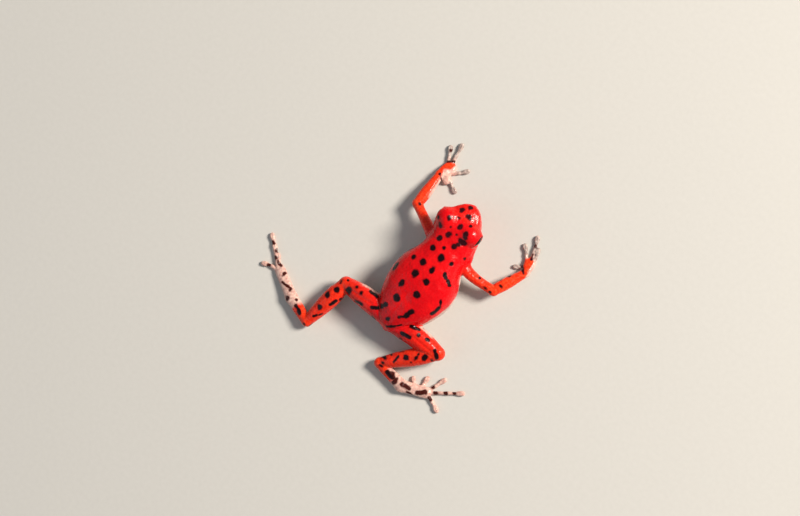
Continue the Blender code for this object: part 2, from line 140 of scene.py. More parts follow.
# Fingers and toes, left and right, as (base, knuckle, tip) seen from above.
FINGERS = (
    [
        ((21.0, 6.35), (20.25, 5.35), (19.65, 4.2)), ((21.4, 5.95), (22.1, 5.1), (22.78, 4.5)),
        ((21.9, 6.7), (23.65, 7.0), (25.05, 7.25)), ((21.8, 7.05), (22.95, 7.75), (23.95, 8.3)),
    ],
    [
        ((17.6, -9.45), (17.05, -8.8), (16.75, -8.25)), ((18.15, -9.2), (19.05, -8.35), (19.7, -7.65)),
        ((18.45, -9.55), (20.1, -8.98), (21.5, -8.35)), ((18.3, -9.95), (19.45, -9.75), (20.3, -9.4)),
    ],
)
TOES = (
    [
        ((-3.4, 15.4), (-2.85, 16.3), (-2.2, 17.0)), ((-3.1, 16.2), (-2.2, 17.4), (-1.35, 18.3)),
        ((-2.8, 16.9), (-1.65, 18.3), (-0.6, 19.5)), ((-2.8, 17.1), (-1.2, 18.85), (0.25, 20.6)),
        ((-3.05, 16.8), (-3.05, 18.1), (-3.45, 19.2)),
    ],
    [
        ((-3.75, -7.5), (-3.35, -6.95), (-2.9, -6.5)), ((-3.35, -8.2), (-2.55, -8.1), (-1.8, -8.05)),
        ((-3.1, -9.1), (-1.75, -9.6), (-0.6, -10.0)), ((-3.15, -9.4), (-1.75, -11.3), (-0.5, -13.0)),
        ((-3.5, -9.4), (-3.95, -10.7), (-4.4, -11.6)),
    ],
)

# The photograph's camera. Its picture is 800 by 516 pixels, and the vent and the snout
# of the frog lie at these two pixels, a body length apart.
PICTURE = np.array((800, 516))
VENT_PIXEL = np.array((385.0, 329.0))
SNOUT_PIXEL = np.array((475.0, 205.0))
VENT = np.array((0.0, 0.0, 2.4))
SNOUT = np.array((19.95, 0.0, 4.3))
BODY_LENGTH = 20.0
CAMERA_DISTANCE = 350.0
TILT_RIGHT = math.radians(14.0)      # the camera leans to the frog's right
TILT_FRONT = math.radians(4.0)       # and a little to its front
SENSOR = 36.0                  # millimetres, as the focal length

# Black spots as read on the photo: mm forward of the vent and to the picture's left of
# the body's axis, then the spot's size across and along the body, or one size if it is round.
BACK_SPOTS = [
    (19.35, 0.3, 0.6), (18.5, 0.95, 0.6, 0.7), (18.25, -0.35, 0.8, 0.6), (17.4, 0.75, 0.5, 0.32),
    (17.45, -1.15, 0.42), (16.65, 1.7, 0.62), (16.6, -0.1, 0.6, 0.72), (16.25, -1.3, 0.68, 0.75),
    (15.25, 2.1, 0.7, 0.55), (15.9, 2.9, 0.4), (15.8, 0.9, 0.28), (15.5, -0.35, 0.3),
    (15.1, -1.55, 1.15, 0.8), (15.75, -1.5, 0.55, 0.6), (14.55, -1.3, 0.6, 0.5),
    (14.05, -1.0, 0.7, 0.6), (14.85, 0.5, 0.68, 0.82), (13.8, 1.2, 0.62, 0.75), (13.5, -3.05, 0.38),
    (13.05, -0.05, 0.38, 0.42), (12.25, 1.15, 0.68, 0.8), (11.8, -0.5, 0.8, 1.0),
    (11.95, -2.05, 0.42, 0.52), (10.0, 1.1, 0.92, 0.78), (9.85, -0.45, 0.65, 0.85),
    (9.85, 2.5, 0.6), (8.2, 1.1, 0.82, 1.0), (8.15, -0.7, 0.85, 0.75), (7.4, 3.7, 0.7, 1.2),
    (6.1, 1.75, 0.72, 0.9), (6.05, -0.75, 0.9, 0.8), (4.2, 1.2, 0.95, 1.0), (1.3, 0.5, 0.5, 0.65),
]
LEFT_LEG_SPOTS = [
    (1.25, 6.8, 0.85, 0.95), (2.25, 6.2, 0.5, 0.42), (1.95, 5.25, 0.48, 0.5),
    (2.35, 7.6, 0.3, 0.25), (0.3, 2.05, 0.6, 0.55), (1.7, 8.25, 0.32, 0.5), (0.45, 8.1, 0.75, 0.7),
    (-0.8, 8.75, 0.68, 0.75), (-2.7, 8.55, 0.8, 0.68), (-0.25, 6.95, 0.5, 0.4), (-5.7, 8.95, 0.35),
    (-5.25, 8.15, 0.25, 0.4), (-4.2, 12.65, 0.62, 0.7), (-3.7, 11.6, 0.35),
    (-3.9, 13.75, 0.6, 0.45), (-3.1, 13.0, 0.4), (-1.95, 14.9, 0.42, 0.6),
]
RIGHT_LEG_SPOTS = [
    (1.95, -4.0, 0.58, 0.52), (2.15, -5.3, 0.58, 0.52), (0.15, -2.4, 0.4, 0.3),
    (0.05, -6.4, 0.7, 0.85), (0.25, -7.35, 0.5, 0.32), (-0.75, -5.5, 0.45, 0.68),
    (-0.1, -5.45, 0.2, 0.4), (-1.4, -4.4, 0.75, 0.68), (-3.05, -2.1, 0.8, 0.48),
    (-3.75, -2.35, 0.4, 0.38), (-2.2, -2.65, 0.4, 0.25), (-1.55, -5.3, 0.28),
    (-4.2, -2.45, 0.5, 0.3), (-4.8, -5.05, 0.6, 0.9), (-4.35, -4.15, 1.0, 0.8),
]
ARM_SPOTS = [
    (12.65, -6.1, 0.35), (12.0, -7.4, 0.5, 0.3), (11.9, -8.3, 0.4, 0.3), (13.4, -9.0, 0.5, 0.3),
    (15.1, -9.05, 0.5, 0.4), (20.6, 6.1, 0.32), (15.9, 5.92, 0.5, 0.4),
]
# Longer marks, from end to end with their thickness. Three are painted shade: the thin dark lines across
# both wrist folds and the one along the shaded underside of the right foot.
BARS_AND_PAINTED_SHADE = [
    (10.4, -2.1, 10.05, -2.5, 0.48), (10.05, -2.5, 9.85, -3.05, 0.24),
    (9.9, -3.0, 9.62, -3.45, 0.5), (7.3, -3.7, 6.55, -4.15, 0.3), (6.35, -4.15, 5.25, -3.85, 0.6),
    (3.95, -1.5, 3.0, -1.2, 0.66), (2.9, -1.15, 2.3, -0.55, 0.38), (2.7, 1.8, 2.1, 2.15, 0.62),
    (0.4, 0.0, 0.95, -0.8, 0.34), (1.0, -0.75, 1.7, -1.45, 0.2), (2.25, -2.55, 2.55, -3.6, 0.5),
    (0.8, -2.1, 1.05, -3.15, 0.58), (-0.1, -3.6, 0.1, -4.35, 0.36), (1.55, -6.9, 0.9, -7.7, 0.5),
    (-1.85, -3.5, -2.85, -3.45, 0.3), (-0.95, -3.7, -1.25, -3.35, 0.22),
    (-4.4, -3.65, -4.5, -4.5, 0.75), (-4.55, -6.0, -4.45, -7.05, 0.58),
    # The last mark on the next line, along the underside of the right foot, is painted shade.
    (-4.25, -8.35, -3.65, -9.1, 0.65), (-4.95, -7.15, -4.85, -8.1, 0.3),
    (2.9, 4.4, 2.8, 3.35, 0.55), (1.2, 3.05, 1.7, 2.4, 0.5), (0.65, 5.2, 0.85, 4.4, 0.5),
    (0.15, 3.85, 0.2, 3.1, 0.42), (-0.85, 7.35, -1.55, 7.6, 0.5), (-3.2, 7.8, -3.6, 8.05, 0.25),
    (-3.75, 8.25, -4.15, 8.55, 0.3), (-4.3, 11.25, -4.9, 10.2, 0.5),
    (-2.9, 14.45, -2.95, 13.2, 0.32), (-1.0, 16.5, -1.3, 15.8, 0.4), (22.4, 6.3, 23.1, 5.4, 0.34),
    # The last mark on the next line is painted shade in the left wrist fold.
    (19.15, -9.95, 18.55, -10.1, 0.34), (20.55, 6.0, 20.0, 5.4, 0.2),
    # This mark is painted shade in the right wrist fold.
    (17.2, -9.65, 16.5, -10.4, 0.34),
]
# Dark bands round the pale toes and fingers, each a place on the photo and a thickness.
TOE_BANDS = [
    (-2.9, -10.25, 0.34), (-2.1, -11.3, 0.28), (-1.5, -12.25, 0.26), (-2.45, -9.55, 0.24),
    (-3.95, -10.1, 0.32), (-0.9, 17.05, 0.28), (0.0, 17.4, 0.32), (0.6, 18.45, 0.3),
    (-2.7, 18.15, 0.24), (-2.2, 17.2, 0.26), (23.95, 6.65, 0.24), (24.6, 6.7, 0.22),
    (20.25, -9.6, 0.26),
]

# How high the pale of the belly reaches on the flanks: station, level.
PALE_EDGE = [
    (0.5, 1.05), (3.0, 2.75), (4.5, 3.3), (7.5, 3.3), (9.0, 2.65), (10.2, 2.6), (11.4, 3.15),
    (12.6, 1.6),
]

# Each length of limb: how pale it is at least, how pale underneath, how orange at its start
# and at its end, and between which fractions along it these colours take over, where -1.0
# and 0.0 stand for all of it.
LIMB_TINTS = {
    "upper_arm": (0.0, 0.8, 0.45, 0.8, 0.1, 0.45),
    "forearm": (0.0, 1.0, 0.9, 0.9, -1.0, 0.0),
    "palm": (0.0, 1.0, 1.0, 1.0, -1.0, 0.0),
    "thumb_pad": (1.0, 1.0, 0.5, 0.5, -1.0, 0.0),
    "finger": (1.0, 1.0, 0.6, 0.0, 0.0, 0.4),
    "thigh": (0.0, 1.0, 0.1, 0.4, 0.1, 0.45),
    "shank": (0.0, 0.9, 0.55, 0.55, -1.0, 0.0),
    "tarsus": (0.0, 1.0, 0.8, 0.8, -1.0, 0.0),
    "foot": (1.0, 1.0, 0.6, 0.0, 0.0, 0.3),
    "toe": (1.0, 1.0, 0.6, 0.0, -1.0, 0.0),
}
# Where each tarsus turns pale all round and along its front, as fractions along it, and
# where each palm does, in mm to the frog's right of its middle. On the right hand that pale outer edge is
# partly a painted highlight.
TARSUS_PALE = {"left": ((0.5, 0.78), (0.45, 0.75)), "right": ((0.45, 0.95), (0.15, 0.55))}
PALM_PALE_AND_HIGHLIGHT = {"left": (0.05, 0.75), "right": (0.2, 0.6)}

# Bones, muscles and folds, as lines on the flesh: from, to, width, height or, below 0,
# depth, and a 2 where the other side of the body has the same.
BODY_LINES = [
    ((6.4, -1.35, 5.5), (1.6, -0.6, 3.9), 0.55, 0.06),
    ((6.4, 0.65, 5.5), (1.6, 0.4, 3.9), 0.55, 0.06),
    ((6.2, -0.4, 6.0), (1.0, -0.1, 4.0), 0.4, -0.04),
    ((12.6, 1.9, 5.4), (11.4, 2.5, 4.9), 0.75, 0.1, 2),
    ((13.5, 1.0, 6.0), (13.3, 2.6, 4.9), 0.45, -0.06, 2),
    ((11.5, -0.45, 6.1), (8.0, -0.52, 6.1), 0.35, -0.03),
]
HEAD_LINES = [
    ((17.6, 2.6, 4.95), (19.2, 1.2, 4.8), 0.34, 0.13, 2),
    ((18.0, 2.55, 4.25), (18.9, 1.75, 4.15), 0.34, -0.07, 2),
    ((15.8, 0.03, 6.1), (17.7, 0.03, 5.9), 0.75, -0.07),
    ((15.0, 1.9, 5.75), (15.3, 0.9, 6.05), 0.3, -0.05, 2),
    ((19.0, 0.55, 5.2), (19.75, 0.45, 4.6), 0.22, 0.03, 2),
    ((15.1, 3.25, 3.2), (15.7, 3.3, 3.2), 0.45, 0.07, 2),
    ((15.2, 2.75, 4.85), (13.6, 3.1, 3.9), 0.2, -0.06, 2),
]
# The same on the limbs: the length of limb, one or two places as (fraction along it, mm
# towards the inside of its bend, mm up), width, and height or depth.
LIMB_LINES = [
    ("thigh", [(0.35, 0.15, 1.5), (0.88, 0.25, 0.95)], 0.22, -0.09),
    ("thigh", [(0.35, -0.65, 1.2), (0.85, -0.35, 0.9)], 0.45, 0.07),
    ("thigh", [(0.4, 0.95, 0.9), (0.75, 0.75, 0.7)], 0.4, 0.06),
    ("shank", [(0.15, 0.0, 1.05), (0.75, 0.05, 0.8)], 0.2, -0.08),
    ("shank", [(0.2, 0.6, 0.7), (0.5, 0.6, 0.6)], 0.38, 0.1),
    ("shank", [(0.25, -0.7, 0.5), (0.55, -0.65, 0.4)], 0.35, 0.06),
    ("shank", [(0.72, 0.45, 0.45), (0.95, 0.4, 0.35)], 0.16, 0.05),
    ("arm", [(0.35, 0.0, 0.8), (0.8, 0.05, 0.65)], 0.16, -0.05),
    ("forearm", [(0.1, 0.1, 0.65), (0.65, 0.05, 0.65)], 0.16, -0.06),
    ("forearm", [(0.15, 0.45, 0.3), (0.45, 0.4, 0.3)], 0.28, 0.07),
    ("forearm", [(0.15, -0.5, 0.3), (0.4, -0.5, 0.3)], 0.26, 0.05),
    ("thigh", [(1.0, -0.35, 0.7)], 0.34, 0.09), ("shank", [(0.0, -0.55, 0.3)], 0.32, 0.07),
    ("shank", [(0.04, 0.55, 0.35)], 0.26, -0.07), ("forearm", [(0.0, -0.45, 0.2)], 0.28, 0.1),
    ("forearm", [(0.07, 0.45, 0.35)], 0.2, -0.09), ("shank", [(1.0, -0.35, 0.4)], 0.26, 0.08),
    ("tarsus", [(0.12, 0.45, 0.3)], 0.18, -0.05), ("forearm", [(1.0, 0.0, 0.5)], 0.18, -0.05),
    ("forearm", [(1.0, -0.45, 0.2)], 0.18, 0.04), ("tarsus", [(1.0, 0.0, 0.48)], 0.26, 0.05),
    ("tarsus", [(1.0, 0.5, 0.2)], 0.18, 0.06),
]

SPOT_SPREAD = 1.10             # the photo's small spots read smaller than they are
SIDE_SPOT_TRIES = 4000         # places tried for the spots that the photo doesn't show
SIDE_SPOT_GAP = 1.5            # and how far apart they stay
WAVE_PEAK = 1.6                # keeps the sum of many waves between about -1 and 1
FLOOR_HALF = 1.5               # in metres
FAR = 2.0                      # distance given to places with no flesh near
NEAR_ZERO = 1e-3
STEP = 0.068                   # mesh of the skin over most of the body
FINE_STEP = 0.046              # and over the head
LEVEL_STEP = 0.058             # and from the floor upwards
# Stretches of the lattice along x, y and z, each from, to and step.
STRETCHES = (
    [(-6.9, 14.0, STEP), (14.0, 20.3, FINE_STEP), (20.3, 25.9, STEP)],
    [(-13.9, -3.9, STEP), (-3.9, 3.9, FINE_STEP), (3.9, 21.6, STEP)],
    [(-0.3, 6.9, LEVEL_STEP)],
)
AHEAD = np.array((1.0, 0.0, 0.0))
UP = np.array((0.0, 0.0, 1.0))
MIRRORS = np.array(((1.0, 1.0, 1.0), (1.0, -1.0, 1.0)))    # the left side, the right side

# The colours of living skin, in daylight.
DEEP_RED = "#D3040F"
FIRE_RED = "#E60C12"
BURNT_ORANGE = "#F0300E"
LIMB_ORANGE = "#F84A20"
PALE_SKIN = "#E9C3B4"
PINK_SKIN = "#C99A90"
ASH_SKIN = "#CDBBB2"
SMOKE_SKIN = "#8F7D78"
SPOT_BLACK = "#170206"
MAROON = "#33040C"
SPOT_BROWN = "#43140E"

# Kinds of node. A range has its value, from and to at 0, 1 and 2; a mix has its share at 0
# and its colours at 6 and 7.
NOISE = "ShaderNodeTexNoise"
RANGE = "ShaderNodeMapRange"
MIX = "ShaderNodeMix"
MATHS = "ShaderNodeMath"
BUMP = "ShaderNodeBump"
SOFT = {"interpolation_type": "SMOOTHSTEP"}
COLOUR = {"data_type": "RGBA"}
ADD_SHARE = {"operation": "MULTIPLY_ADD"}


def read_table(table, x):
    """Values of a table of rows (x, value, ...) along a smooth curve, for many x at once."""
    rows = np.array(table)
    x = np.clip(x, rows[0, 0], rows[-1, 0])
    last = len(rows) - 1
    i = np.clip(np.searchsorted(rows[:, 0], x, side="right") - 1, 0, last - 1)
    before, after = rows[np.maximum(i - 1, 0)], rows[np.minimum(i + 2, last)]
    left, right = rows[i], rows[i + 1]
    span = right[..., :1] - left[..., :1]
    t = (x[..., None] - left[..., :1]) / span
    slope_left = (right - before) / (right[..., :1] - before[..., :1]) * span
    slope_right = (after - left) / (after[..., :1] - left[..., :1]) * span
    value = (2 * t**3 - 3 * t**2 + 1) * left + (t**3 - 2 * t**2 + t) * slope_left
    value = value + (3 * t**2 - 2 * t**3) * right + (t**3 - t**2) * slope_right
    return [value[..., k] for k in range(1, rows.shape[1])]


def smooth_step(low, high, value):
    """0 below low, 1 above high and a soft change between."""
    t = np.clip((value - low) / (high - low), 0.0, 1.0)
    return t * t * (3 - 2 * t)


def soft_min(a, b, blend):
    """The nearer of two distances, rounded over where they are alike."""
    h = np.clip(0.5 + 0.5 * (b - a) / blend, 0.0, 1.0)
    return b + (a - b) * h - blend * h * (1 - h)


def dot(offset, way):
    """How far an offset reaches in a direction; its three parts may be arrays."""
    return sum(o * w for o, w in zip(offset, way))


def unit(way):
    return way / np.linalg.norm(way)


def square_to(way, axis):
    """A direction turned until it is at right angles to an axis."""
    return unit(way - (way @ axis) * axis)


def body_distance(x, y, z):
    """Distance to torso and head; x, y and z are arrays that fit together."""
    half, top, level, bottom = read_table(BODY_TABLE, x)
    across = np.abs(y - read_table(SPINE_TABLE, x)[0])
    above = z - level
    height = np.where(above > 0, top - level, level - bottom)
    power = np.where(above > 0, ROUND_ABOVE, ROUND_BELOW)
    ratio = ((across / half) ** power + (np.abs(above) / height) ** power) ** (1 / power)
    reach = np.sqrt(across**2 + above**2)
    inner = np.where(ratio > NEAR_ZERO, reach / np.maximum(ratio, NEAR_ZERO), half)
    ends = np.maximum(BODY_TABLE[0][0] - REAR_ROUNDING - x, x - BODY_TABLE[-1][0] - SNOUT_ROUNDING)
    return np.maximum(reach - inner, ends)


def turn_head(points, angle=HEAD_ROLL):
    """Lean the head over to the right, with the chest and shoulders turning less and less."""
    x, y, z = np.atleast_2d(points).T
    share = smooth_step(*ROLL_STATIONS, x) * smooth_step(*ROLL_SIDES, np.abs(y))
    share = share * smooth_step(*ROLL_LEVELS, z)
    c, s = np.cos(angle * share), np.sin(angle * share)
    above = z - ROLL_AXIS
    return np.stack((x, y * c - above * s, ROLL_AXIS + y * s + above * c), axis=1)


def before_turn(point):
    """Where a place has to lie before the head turns, to end up where it is given."""
    return turn_head(point, -HEAD_ROLL)[0]


def smooth_path(points, count):
    """Points along a smooth curve through three given ones; any other number stays as it is."""
    points = np.array(points, dtype=float)
    if len(points) != 3:
        return points
    lengths = np.linalg.norm(np.diff(points, axis=0), axis=1)
    table = np.column_stack(([0.0, lengths[0] / lengths.sum(), 1.0], points))
    return np.column_stack(read_table(table, np.linspace(0, 1, count + 1)))


def flesh(points, sizes, count=6):
    """A round-ended length of flesh along a path: a function from points to distances.

    The function also gives the fraction along the path of the nearest place.
    """
    path = smooth_path(points, count)

    def distance(x, y, z):
        nearest, place = np.inf, 0.0
        for k, (start, end) in enumerate(zip(path, path[1:])):
            along = unit(end - start)
            side = unit(np.cross(UP, along))
            offset = (x - start[0], y - start[1], z - start[2])
            run, sideways, upward = (dot(offset, way) for way in (along, side, np.cross(along, side)))
            length = np.linalg.norm(end - start)
            t = np.clip(run / length, 0.0, 1.0)
            past = run - t * length
            fraction = (k + t) / (len(path) - 1)
            half, tall = read_table(sizes, fraction)
            ratio = np.sqrt((sideways / half) ** 2 + (upward / tall) ** 2 + (past / half) ** 2)
            reach = np.sqrt(sideways**2 + upward**2 + past**2)
            gap = reach - np.where(ratio > NEAR_ZERO, reach / np.maximum(ratio, NEAR_ZERO), tall)
            place = np.where(gap < nearest, fraction, place)
            nearest = np.minimum(nearest, gap)
        return nearest, place

    distance.path = path
    distance.reach = max(max(row[1:]) for row in sizes)
    return distance


def ellipsoid(centre, radii):
    """Distance to an ellipsoid, near enough close to its surface."""

    def distance(x, y, z):
        offset = [v - c for v, c in zip((x, y, z), centre)]
        ratio = np.sqrt(sum((v / r) ** 2 for v, r in zip(offset, radii)))
        reach = np.sqrt(sum(v**2 for v in offset))
        return reach - reach / np.maximum(ratio, NEAR_ZERO)

    return distance


class Lattice:
    """Distances from a lattice of points to the skin, negative inside the flesh."""

    def __init__(self):
        self.axes = []
        for stretches in STRETCHES:
            runs = [np.linspace(a, b, int((b - a) / step), endpoint=False) for a, b, step in stretches]
            self.axes.append(np.concatenate(runs))
        self.value = np.full([len(axis) for axis in self.axes], FAR, dtype=np.float32)

    def window(self, places, margin=0.0):
        """Slices of the lattice in a box round some places, and its coordinates there."""
        low, high = np.min(places, axis=0) - margin, np.max(places, axis=0) + margin
        cuts = tuple(slice(*np.searchsorted(axis, ends)) for axis, *ends in zip(self.axes, low, high))
        return cuts, *np.ix_(*(axis[cut] for axis, cut in zip(self.axes, cuts)))

    def add(self, form, places, margin, blend, sign=1):
        """Let a form round some places flow into the flesh, or with a sign of -1 carve it out."""
        cuts, x, y, z = self.window(places, margin)
        self.value[cuts] = sign * soft_min(sign * self.value[cuts], form(x, y, z), blend)

    def press(self, start, end, width, amount, sides=1):
        """Raise the skin, or sink it for an amount below 0, along a line with soft edges."""
        for mirror in MIRRORS[:sides]:
            first, last = start * mirror, end * mirror
            line = last - first
            cuts, *places = self.window((first, last), 2.6 * width)
            offset = [v - s for v, s in zip(places, first)]
            t = np.clip(dot(offset, line) / max(line @ line, 1e-9), 0.0, 1.0)
            gap = sum((o - t * d) ** 2 for o, d in zip(offset, line))
            self.value[cuts] -= (amount * np.exp(-gap / width**2)).astype(np.float32)


def digit_flesh(marks, girth):
    """A finger or toe, with the flat round pad at its tip."""
    half, disc = DIGIT_HALF * girth, DISC_HALF * girth
    points = np.array([(x, y, DIGIT_LEVEL) for x, y in marks])
    pad = 1.0 - DISC_LENGTH / np.linalg.norm(np.diff(points, axis=0), axis=1).sum()
    sizes = [
        (0.0, half * 1.30, half * 1.25),
        (pad * 0.45, half * 0.95, half * 1.08),
        (pad * 0.62, half * 1.14, half * 1.12),
        (pad * 0.88, half * 0.92, half * 1.02),
        (0.5 + pad / 2, disc, half),
        (1.0, disc * 0.92, half * 0.88),
    ]
    return flesh(points, sizes)


def limb_flesh():
    """Every length of limb, as rows (name, side, distance, blend with what it grows from)."""
    rows = []
    for index, word in enumerate(("left", "right")):
        arm = smooth_path([SHOULDER[index], UPPER_ARM_MIDDLE[index], ELBOW[index]], 8)
        rows.append(("upper_arm", word, flesh(turn_head(arm, -HEAD_ROLL), UPPER_ARM), 0.35))
        for name, start, end, sizes, blend in (
            ("forearm", ELBOW, WRIST, FOREARM, 0.16),
            ("palm", WRIST, KNUCKLES, PALMS[index], 0.25),
            ("thigh", HIP, KNEE, THIGH, 0.20),
            ("shank", KNEE, HEEL, SHANK, 0.14),
            ("tarsus", HEEL, ANKLE, TARSUS, 0.14),
            ("foot", ANKLE, SOLE, FOOT_PAD, 0.25),
        ):
            rows.append((name, word, flesh([start[index], end[index]], sizes), blend))
        for name, digits, first_girth, blend in (
            ("finger", FINGERS[index], 0.92, 0.18),
            ("toe", TOES[index], 0.85, 0.16),
        ):
            for k, marks in enumerate(digits):
                rows.append((name, word, digit_flesh(marks, 1.0 if k else first_girth), blend))
    rows.append(("thumb_pad", "left", flesh(THUMB_PAD, THUMB_PAD_SIZES), 0.25))
    return rows


def mouth_height(x):
    """Level of the closed mouth at a station of the head, bowed a little downwards."""
    t = (x - MOUTH_CORNER[0]) / (MOUTH_SNOUT[0] - MOUTH_CORNER[0])
    straight = MOUTH_CORNER[1] + t * (MOUTH_SNOUT[1] - MOUTH_CORNER[1])
    return straight - MOUTH_BOW * np.sin(math.pi * np.clip(t, 0, 1))


def sculpt_body(lattice):
    """Torso and head as one form, then the bones and muscles that show through the skin."""
    cuts, x, y, z = lattice.window([(-1.9, -6.2, -0.3), (21.3, 5.6, 6.8)])
    distance = body_distance(x, y, z)
    steps = np.gradient(distance, x.ravel(), y.ravel(), z.ravel())
    slope = np.sqrt(sum(step**2 for step in steps))
    lattice.value[cuts] = distance / np.clip(slope, 0.7, 6.0)
    for row in BODY_LINES:
        lattice.press(*row)
    for side in (1, -1):
        # Faint ribs, then the folds before the thigh and behind the arm.
        for k in range(4):
            front = 11.4 - 0.95 * k
            out = side * (3.25 + 0.40 * k) - 0.45
            lattice.press((front, out, 1.9 + 0.1 * k), (front + 0.75, out * 0.86, 3.9), 0.20, -0.028)
        lattice.press((3.9, side * 3.2 - 0.3, 1.6), (3.3, side * 2.7 - 0.3, 3.9), 0.26, -0.05)
        lattice.press((12.0, side * 2.7 - 0.3, 1.5), (12.0, side * 3.0 - 0.3, 3.8), 0.30, -0.05)


def sculpt_head(lattice):
    """Brow, snout, lids, nostrils, eardrums and the line of the mouth."""
    for row in HEAD_LINES:
        lattice.press(*row)
    for side, mirror in zip((1, -1), MIRRORS):
        eye = EYE * mirror
        ball = ellipsoid(eye, [EYE_RADIUS + 0.015] * 3)
        opening = lid_opening(side)
        for form, blend, sign in (
            (ellipsoid(LID_CENTRE * mirror, LID_RADII), 0.42, 1),
            (ellipsoid(eye, [EYE_RADIUS + LID_THICKNESS] * 3), 0.25, 1),
            (opening, 0.07, -1),
            (ball, 0.02, -1),
            (lid_margin(ball, opening, side), 0.06, 1),
        ):
            lattice.add(form, [eye], 2.4, blend, sign)
        nostril = NOSTRIL * mirror
        lattice.press(nostril, nostril, 0.26, 0.06)
        lattice.press(nostril, nostril - (0.05, 0.25 * side, 0.0), 0.13, -0.22)
        eardrum_ring(lattice, EARDRUM * mirror)
    mouth_line(lattice)


def lid_opening(side):
    """The oval gap between the lids, a tube that runs outwards and a little up."""
    half_length, half_height = LID_OPENING

    def distance(x, y, z):
        out = y * side - EYE[1]
        along = (x - EYE[0]) / half_length
        rise = (z - EYE[2] - 0.10 * out) / half_height
        section = (np.sqrt(along**2 + rise**2 + 1e-9) - 1) * half_height
        return np.maximum(section, 0.25 - out)

    return distance


def lid_margin(ball, opening, side):
    """The thin rolled edge of the lids, a bead that lies on the eyeball round the opening."""
    bead, lift = 0.075, 0.085

    def distance(x, y, z):
        edge = np.sqrt((ball(x, y, z) - lift) ** 2 + opening(x, y, z) ** 2) - bead
        return np.where(y * side > EYE[1] + 0.3, edge, FAR)

    return distance


def eardrum_ring(lattice, centre):
    """A shallow round drum with a faint raised rim, behind the corner of the mouth."""
    cuts, x, y, z = lattice.window([centre], 1.2)
    radius = 0.46
    reach = np.sqrt((x - centre[0]) ** 2 + ((z - centre[2]) * 1.05) ** 2)
    near = np.exp(-(((y - centre[1]) / 0.7) ** 2))
    rim = 0.035 * np.exp(-(((reach - radius) / 0.08) ** 2))
    drum = 0.055 * (1 - smooth_step(0.28, radius, reach))
    lattice.value[cuts] += (near * (drum - rim)).astype(np.float32)


def mouth_line(lattice):
    """A fine groove between two soft lips, from one corner round the snout to the other."""
    cuts, x, _, z = lattice.window([(14.2, -4.0, 2.0), (20.4, 4.0, 4.6)])
    offset = z - mouth_height(x)
    fade = smooth_step(MOUTH_CORNER[0] - 0.25, MOUTH_CORNER[0] + 0.25, x)
    groove = 0.12 * np.exp(-((offset / 0.075) ** 2))
    lips = 0.035 * np.exp(-(((np.abs(offset) - 0.20) / 0.13) ** 2))
    lattice.value[cuts] += (fade * (groove - lips)).astype(np.float32)


def inward(start, end, third):
    """The level direction at right angles to a length of limb, towards a third joint."""
    way = third - start
    line = unit(end - start)
    return unit((way - (way @ line) * line) * (1, 1, 0))


def sculpt_muscles(lattice, index):
    """What shows under the skin of one side's arm and leg."""
    shoulder, elbow, wrist = (np.array(place[index]) for place in (SHOULDER, ELBOW, WRIST))
    hip, knee, heel, ankle = (np.array(place[index]) for place in (HIP, KNEE, HEEL, ANKLE))
    calf = inward(knee, heel, hip)
    lengths = {
        "thigh": (hip, knee, inward(hip, knee, heel)),
        "shank": (knee, heel, calf),
        "tarsus": (heel, ankle, calf),
        "arm": (shoulder, elbow, inward(shoulder, elbow, wrist)),
        "forearm": (elbow, wrist, inward(elbow, wrist, shoulder)),
    }
    for name, places, width, amount in LIMB_LINES:
        start, end, way = lengths[name]
        line = [before_turn(start + t * (end - start) + aside * way + up * UP) for t, aside, up in places]
        lattice.press(line[0], line[-1], width, amount)


def sculpt_digit(lattice, marks):
    """Knuckle folds, and the pair of little shields on top of the pad at the tip."""
    base, knuckle, tip = (np.array((x, y, DIGIT_TOP)) for x, y in marks)
    line = unit(tip - knuckle)
    side = np.array((-line[1], line[0], 0.0))
    for aside in (0.16, -0.16):
        shield = tip - 0.22 * line + aside * side
        lattice.press(shield, shield + 0.16 * line, 0.12, 0.05)
    lattice.press(tip - 0.42 * line, tip + 0.10 * line, 0.06, -0.05)
    for place in (knuckle, tip - 0.78 * line):
        lattice.press(place + 0.15 * side, place - 0.15 * side, 0.07, -0.035)
    for t in (0.35, 0.7):
        ridge = base + t * (knuckle - base)
        lattice.press(ridge, ridge, 0.20, 0.02)


def sculpt_limbs(lattice, limbs):
    """Arms, legs, hands and feet, down to the pads of the toes."""
    for _, _, tube, blend in limbs:
        lattice.add(lambda x, y, z: tube(x, y, z)[0], tube.path, tube.reach + 0.9, blend)
    for crease in THIGH_CREASES:
        for start, end in zip(crease, crease[1:]):
            lattice.press(start, end, 0.17, -0.11)
    swell = before_turn(SHOULDER_SWELL[0])
    lattice.add(ellipsoid(swell, SHOULDER_SWELL[1]), [swell], 2.2, 0.45)
    for index in (0, 1):
        sculpt_muscles(lattice, index)
    for digits in FINGERS + TOES:
        for marks in digits:
            sculpt_digit(lattice, marks)
    # Thin sinews run over the back of hand and foot to each digit but the first toe.
    for roots, both_sides, first, share in ((WRIST, FINGERS, 0, 0.35), (ANKLE, TOES, 1, 0.45)):
        for root, digits in zip(roots, both_sides):
            for marks in digits[first:]:
                knuckle = np.array((*marks[0], SINEW_LEVEL))
                start = (1 - share) * np.array(root) + share * knuckle + 0.15 * UP
                lattice.press(start, knuckle, 0.12, 0.035)


